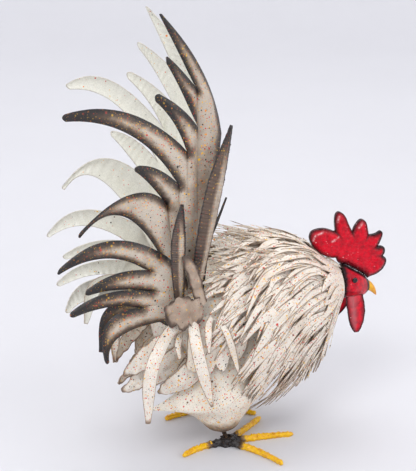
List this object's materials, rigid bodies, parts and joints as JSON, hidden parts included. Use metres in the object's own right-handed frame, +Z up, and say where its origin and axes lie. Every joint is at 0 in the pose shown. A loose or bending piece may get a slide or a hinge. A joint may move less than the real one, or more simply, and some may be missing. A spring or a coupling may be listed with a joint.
{
  "type": "scrap metal rooster sculpture",
  "caption": "Standing rooster garden sculpture cut and welded from painted sheet metal, with a fanned sickle tail, layered hackle feathers and wire toes.",
  "frame": {"origin": "centre of the whole bird's box, on the ground it stands on", "axes": "+Z up, +X the way the bird faces, +Y its left side"},
  "size_m": [0.4374, 0.2596, 0.547],
  "materials": {
    "white_paint": "satin cream with sprayed brown edges and paint specks",
    "brown_edged_paint": "satin cream shaded to dark brown at the edges, with paint specks",
    "bare_brown_metal": "matt brown",
    "red_enamel": "gloss, hammered",
    "yellow_paint": "satin",
    "black_wire": "dark, heat scaled",
    "black_gloss": "gloss"
  },
  "bodies": {
    "root": {"beak": "yellow_paint", "body_shell": "white_paint", "comb": "red_enamel", "hackle_cape_1": "white_paint", "hackle_cape_2": "white_paint", "hackle_cape_3": "white_paint", "hackle_cape_4": "white_paint", "head": "red_enamel", "left_ankle_wire": "black_wire", "left_eye": "black_gloss", "left_flank_leaf": "white_paint", "left_foot": "yellow_paint", "left_rump_leaf_high": "white_paint", "left_rump_leaf_low": "white_paint", "left_rump_leaf_middle": "white_paint", "left_saddle_front": "white_paint", "left_saddle_long": "white_paint", "left_saddle_middle": "white_paint", "left_saddle_rear": "white_paint", "left_saddle_wide": "white_paint", "left_sickle_long": "brown_edged_paint", "left_sickle_small": "brown_edged_paint", "left_sickle_thin": "brown_edged_paint", "left_side_feather": "brown_edged_paint", "left_tail_curl": "bare_brown_metal", "left_tail_lower": "brown_edged_paint", "left_tail_scrap": "bare_brown_metal", "left_tail_upper": "brown_edged_paint", "left_thigh": "white_paint", "left_wattle": "red_enamel", "left_wing_sheet": "white_paint", "right_ankle_wire": "black_wire", "right_eye": "black_gloss", "right_flank_leaf": "white_paint", "right_foot": "yellow_paint", "right_rump_leaf_high": "white_paint", "right_rump_leaf_low": "white_paint", "right_rump_leaf_middle": "white_paint", "right_saddle_front": "white_paint", "right_saddle_long": "white_paint", "right_saddle_middle": "white_paint", "right_saddle_rear": "white_paint", "right_saddle_wide": "white_paint", "right_sickle_long": "brown_edged_paint", "right_sickle_small": "brown_edged_paint", "right_sickle_thin": "brown_edged_paint", "right_side_feather": "brown_edged_paint", "right_tail_curl": "bare_brown_metal", "right_tail_lower": "brown_edged_paint", "right_tail_scrap": "bare_brown_metal", "right_tail_upper": "brown_edged_paint", "right_thigh": "white_paint", "right_wattle": "red_enamel", "right_wing_sheet": "white_paint"}
  },
  "joints": []
}
